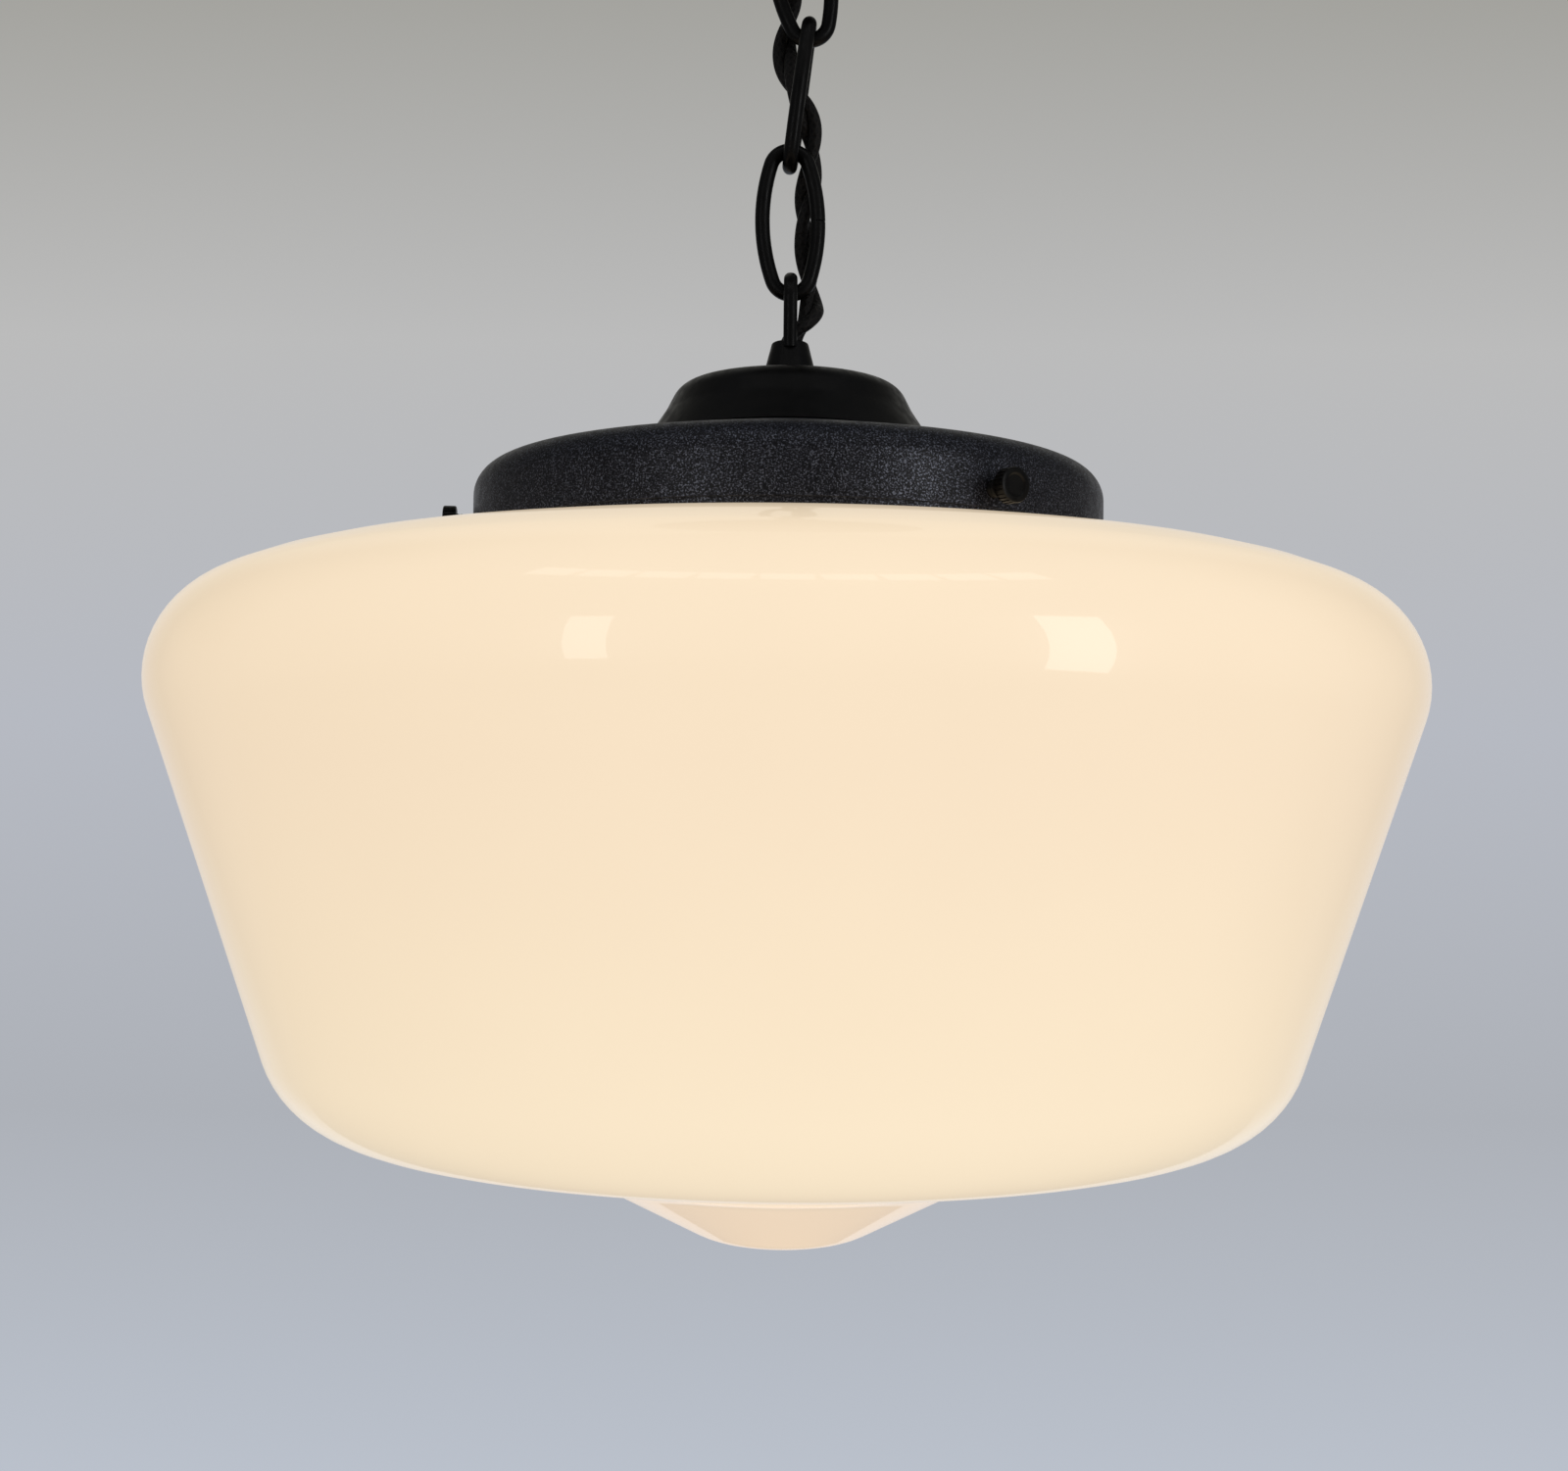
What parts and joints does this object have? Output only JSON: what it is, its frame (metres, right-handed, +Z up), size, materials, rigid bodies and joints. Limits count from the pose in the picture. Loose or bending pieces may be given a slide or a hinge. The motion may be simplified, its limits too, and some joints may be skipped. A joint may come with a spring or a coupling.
{
  "type": "pendant light",
  "caption": "Ceiling pendant with a wide opal glass shade in a screw-held metal holder, under a vase cap and loop, on a short oval-link chain with a twisted cord and a canopy.",
  "frame": {"origin": "middle of the ceiling strap's top face, on the ceiling plane", "axes": "+Z up into the ceiling, the lamp hangs along -Z; the picture looks along +Y; the lamp turns about Z"},
  "size_m": [0.3037, 0.3038, 0.4187],
  "materials": {
    "zinc steel": "zinc plated, satin",
    "green steel": "green passivated",
    "black coat": "speckled powder coat, satin",
    "black satin": "satin",
    "lead skin": "plain",
    "connector": "moulded",
    "cord skin": "twisted pair",
    "opal glass": "cased opal, polished",
    "porcelain": "glazed",
    "brass": "plain",
    "solder": "solder",
    "black glass": "glossy",
    "nickel": "nickel plated",
    "lamp plastic": "moulded",
    "lamp diffuser": "frosted"
  },
  "bodies": {
    "ceiling": {"ceiling_strap": "zinc steel", "canopy_nipple": "zinc steel", "canopy_nipple_nut": "zinc steel", "ground_screw": "green steel", "canopy": "black coat", "canopy_loop": "black satin", "supply_leads": "lead skin", "wire_connectors": "connector"},
    "ring": {"canopy_ring": "black satin"},
    "link_c": {"chain_link_c": "black satin", "cord_canopy": "cord skin"},
    "link_b": {"chain_link_b": "black satin", "cord_upper": "cord skin"},
    "link_a": {"chain_link_a": "black satin", "cord_middle": "cord skin"},
    "lamp": {"fixture_loop": "black satin", "vase_cap": "black satin", "shade_holder": "black coat", "stem_nipple": "zinc steel", "stem_lock_washer": "zinc steel", "stem_nut": "zinc steel", "glass_shade": "opal glass", "socket_cup": "zinc steel", "socket_body": "porcelain", "socket_screw_shell": "brass", "socket_centre_contact": "brass", "socket_terminal_screws": "brass", "socket_leads": "lead skin", "cord_lower": "cord skin"},
    "bulb": {"bulb_tip": "solder", "bulb_insulator": "black glass", "bulb_screw_base": "nickel", "bulb_collar": "lamp plastic", "bulb_globe": "lamp diffuser"},
    "screw_1": {"thumbscrew_1": "black satin"},
    "screw_2": {"thumbscrew_2": "black satin"},
    "screw_3": {"thumbscrew_3": "black satin"}
  },
  "joints": [
    {"name": "canopy_ring_turn", "type": "hinge", "parent": "ceiling", "child": "ring", "pos_m": [0, 0, -0.0248], "axis": [0, 0, 1], "continuous": true},
    {"name": "link_c_swing", "type": "hinge", "parent": "ceiling", "child": "link_c", "pos_m": [0, 0, -0.0497], "axis": [0, 1, 0], "range_deg": [-35, 35], "deforming": ["cord_canopy"]},
    {"name": "link_b_swing", "type": "hinge", "parent": "link_c", "child": "link_b", "pos_m": [0.00404, 0, -0.08199], "axis": [1, 0, 0], "range_deg": [-35, 35], "deforming": ["cord_upper"]},
    {"name": "link_a_swing", "type": "hinge", "parent": "link_b", "child": "link_a", "pos_m": [-0.00056, 0, -0.11405], "axis": [0, 1, 0], "range_deg": [-35, 35], "deforming": ["cord_middle"]},
    {"name": "lamp_swing", "type": "hinge", "parent": "link_a", "child": "lamp", "pos_m": [0, 0, -0.14639], "axis": [1, 0, 0], "range_deg": [-35, 35], "deforming": ["cord_lower"]},
    {"name": "bulb_turn", "type": "hinge", "parent": "lamp", "child": "bulb", "pos_m": [0, 0, -0.25], "axis": [0, 0, 1], "continuous": true},
    {"name": "thumbscrew_1_travel", "type": "slide", "parent": "lamp", "child": "screw_1", "axis": [0.5736, -0.8192, 0], "range_m": [0, 0.005]},
    {"name": "thumbscrew_2_travel", "type": "slide", "parent": "lamp", "child": "screw_2", "axis": [0.4226, 0.9063, 0], "range_m": [0, 0.005]},
    {"name": "thumbscrew_3_travel", "type": "slide", "parent": "lamp", "child": "screw_3", "axis": [-0.9962, -0.0872, 0], "range_m": [0, 0.005]}
  ]
}
